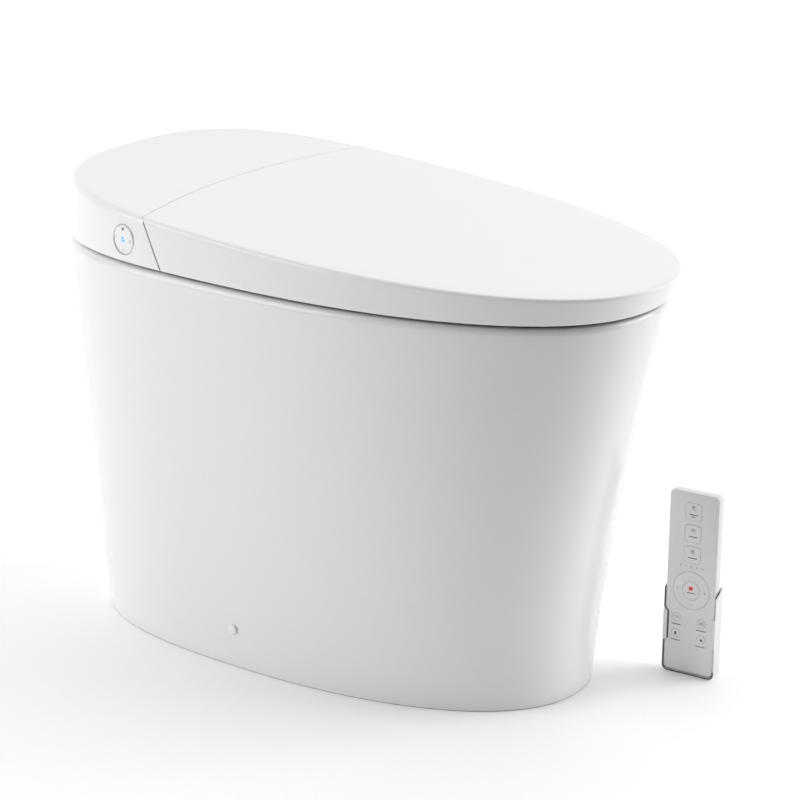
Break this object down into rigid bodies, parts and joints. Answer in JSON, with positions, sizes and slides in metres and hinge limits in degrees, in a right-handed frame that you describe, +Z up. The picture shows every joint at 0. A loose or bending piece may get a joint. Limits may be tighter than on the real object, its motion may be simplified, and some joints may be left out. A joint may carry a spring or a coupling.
{
  "type": "electric bidet toilet with hand remote",
  "caption": "Skirted one-piece electric bidet toilet with hinged lid and heated seat, sliding wash nozzle, side knob, and a hand remote standing in its cradle.",
  "frame": {"origin": "on the floor, under the middle of the footprint of toilet and remote together", "axes": "+Z up, +Y towards the wall behind, -Y towards the bowl nose, -X to the side that carries the knob"},
  "size_m": [0.3814, 0.697, 0.4915],
  "materials": {
    "ceramic": "gloss",
    "white_plastic": "gloss",
    "light_plastic": "satin",
    "panel_plastic": "satin",
    "grey_plastic": "matte",
    "dark_plastic": "matte",
    "steel": "brushed",
    "rubber": "matte",
    "heater_copper": "satin",
    "board": "satin",
    "blue_tube": "gloss",
    "carbon": "matte"
  },
  "bodies": {
    "root": {"ceramic_pan": "ceramic", "outlet_gasket": "rubber", "floor_bracket_left": "steel", "fixing_cap_left": "white_plastic", "floor_bracket_right": "steel", "fixing_cap_right": "white_plastic", "seat_chassis": "grey_plastic", "rear_cover": "white_plastic", "hinge_damper_left": "grey_plastic", "hinge_damper_right": "grey_plastic", "nozzle_guide": "light_plastic", "nozzle_motor": "steel", "dryer_housing": "grey_plastic", "deodoriser_housing": "grey_plastic", "dryer_heater": "heater_copper", "carbon_cartridge": "carbon", "water_heater": "steel", "wash_pump": "grey_plastic", "flush_pump": "dark_plastic", "inlet_valve": "light_plastic", "connection_plate": "dark_plastic", "power_gland": "dark_plastic", "supply_hose": "dark_plastic", "wash_hose": "blue_tube", "electronics_box": "dark_plastic", "control_board": "board", "knob_bezel": "light_plastic", "knob_encoder": "dark_plastic", "remote_cradle": "white_plastic"},
    "seat": {"seat_lower_shell": "dark_plastic", "seat_upper_shell": "white_plastic", "seat_heater": "heater_copper", "seat_arm_left": "steel", "seat_arm_right": "steel", "seat_bumper_left": "rubber", "seat_bumper_right": "rubber"},
    "lid": {"lid_shell": "white_plastic", "lid_liner": "light_plastic", "lid_arm_left": "steel", "lid_arm_right": "steel"},
    "nozzle_outer": {"nozzle_carrier": "light_plastic"},
    "nozzle_inner": {"nozzle_tip": "white_plastic"},
    "pinion": {"nozzle_pinion": "grey_plastic"},
    "dryer_fan": {"dryer_impeller": "light_plastic"},
    "deodoriser_fan": {"deodoriser_impeller": "light_plastic"},
    "knob_turning": {"knob_shaft": "grey_plastic"},
    "knob_pressed": {"knob_cap": "white_plastic"},
    "remote": {"remote_front_panel": "panel_plastic", "remote_back_shell": "white_plastic", "remote_board": "board", "remote_battery": "steel"},
    "key_rear_wash": {"key_rear_wash": "light_plastic"},
    "key_front_wash": {"key_front_wash": "light_plastic"},
    "key_dryer": {"key_dryer": "light_plastic"},
    "key_ring": {"key_ring": "light_plastic"},
    "key_stop": {"key_stop": "light_plastic"},
    "key_seat_heat": {"key_seat_heat": "light_plastic"},
    "key_water_heat": {"key_water_heat": "light_plastic"},
    "key_massage": {"key_massage": "light_plastic"},
    "key_light": {"key_light": "light_plastic"}
  },
  "joints": [
    {"name": "seat_hinge", "type": "hinge", "parent": "root", "child": "seat", "pos_m": [0, 0.2075, 0.47], "axis": [-1, 0, 0], "range_deg": [0, 95]},
    {"name": "lid_hinge", "type": "hinge", "parent": "seat", "child": "lid", "pos_m": [0, 0.2075, 0.47], "axis": [1, 0, 0], "range_deg": [-95, 0]},
    {"name": "nozzle_slide", "type": "slide", "parent": "root", "child": "nozzle_outer", "axis": [0, -0.9511, -0.309], "range_m": [0, 0.08]},
    {"name": "nozzle_tip_slide", "type": "slide", "parent": "nozzle_outer", "child": "nozzle_inner", "axis": [0, -0.9511, -0.309], "range_m": [0, 0.06]},
    {"name": "nozzle_pinion_spin", "type": "hinge", "parent": "root", "child": "pinion", "pos_m": [0.0144, 0.19774, 0.44812], "axis": [0, -0.309, 0.9511], "range_deg": [-830, 830]},
    {"name": "dryer_fan_spin", "type": "hinge", "parent": "root", "child": "dryer_fan", "pos_m": [0.07, 0.2695, 0.45], "axis": [0, 0, 1], "continuous": true},
    {"name": "deodoriser_fan_spin", "type": "hinge", "parent": "root", "child": "deodoriser_fan", "pos_m": [-0.078, 0.2535, 0.447], "axis": [0, 0, 1], "continuous": true},
    {"name": "knob_turn", "type": "hinge", "parent": "root", "child": "knob_turning", "pos_m": [-0.1837, 0.1875, 0.451], "axis": [0.9863, -0.165, 0], "range_deg": [-30, 30], "stiffness_Nm_per_rad": 0.02},
    {"name": "knob_press", "type": "slide", "parent": "knob_turning", "child": "knob_pressed", "axis": [0.9863, -0.165, 0], "range_m": [0, 0.0015], "stiffness_N_per_m": 600},
    {"name": "remote_lift", "type": "slide", "parent": "root", "child": "remote", "axis": [0.017, 0.0016, 0.9999], "range_m": [0, 0.105]},
    {"name": "key_rear_wash_press", "type": "slide", "parent": "remote", "child": "key_rear_wash", "axis": [0.9956, 0.092, -0.0171], "range_m": [0, 0.0008], "stiffness_N_per_m": 400},
    {"name": "key_front_wash_press", "type": "slide", "parent": "remote", "child": "key_front_wash", "axis": [0.9956, 0.092, -0.0171], "range_m": [0, 0.0008], "stiffness_N_per_m": 400},
    {"name": "key_dryer_press", "type": "slide", "parent": "remote", "child": "key_dryer", "axis": [0.9956, 0.092, -0.0171], "range_m": [0, 0.0008], "stiffness_N_per_m": 400},
    {"name": "key_ring_press", "type": "slide", "parent": "remote", "child": "key_ring", "axis": [0.9956, 0.092, -0.0171], "range_m": [0, 0.0008], "stiffness_N_per_m": 400},
    {"name": "key_stop_press", "type": "slide", "parent": "remote", "child": "key_stop", "axis": [0.9956, 0.092, -0.0171], "range_m": [0, 0.0008], "stiffness_N_per_m": 400},
    {"name": "key_seat_heat_press", "type": "slide", "parent": "remote", "child": "key_seat_heat", "axis": [0.9956, 0.092, -0.0171], "range_m": [0, 0.0008], "stiffness_N_per_m": 400},
    {"name": "key_water_heat_press", "type": "slide", "parent": "remote", "child": "key_water_heat", "axis": [0.9956, 0.092, -0.0171], "range_m": [0, 0.0008], "stiffness_N_per_m": 400},
    {"name": "key_massage_press", "type": "slide", "parent": "remote", "child": "key_massage", "axis": [0.9956, 0.092, -0.0171], "range_m": [0, 0.0008], "stiffness_N_per_m": 400},
    {"name": "key_light_press", "type": "slide", "parent": "remote", "child": "key_light", "axis": [0.9956, 0.092, -0.0171], "range_m": [0, 0.0008], "stiffness_N_per_m": 400}
  ],
  "couplings": [
    {"joint": "nozzle_tip_slide", "follows": "nozzle_slide", "ratio": 0.75},
    {"joint": "nozzle_pinion_spin", "follows": "nozzle_slide", "rad_per_m": 178.57}
  ]
}
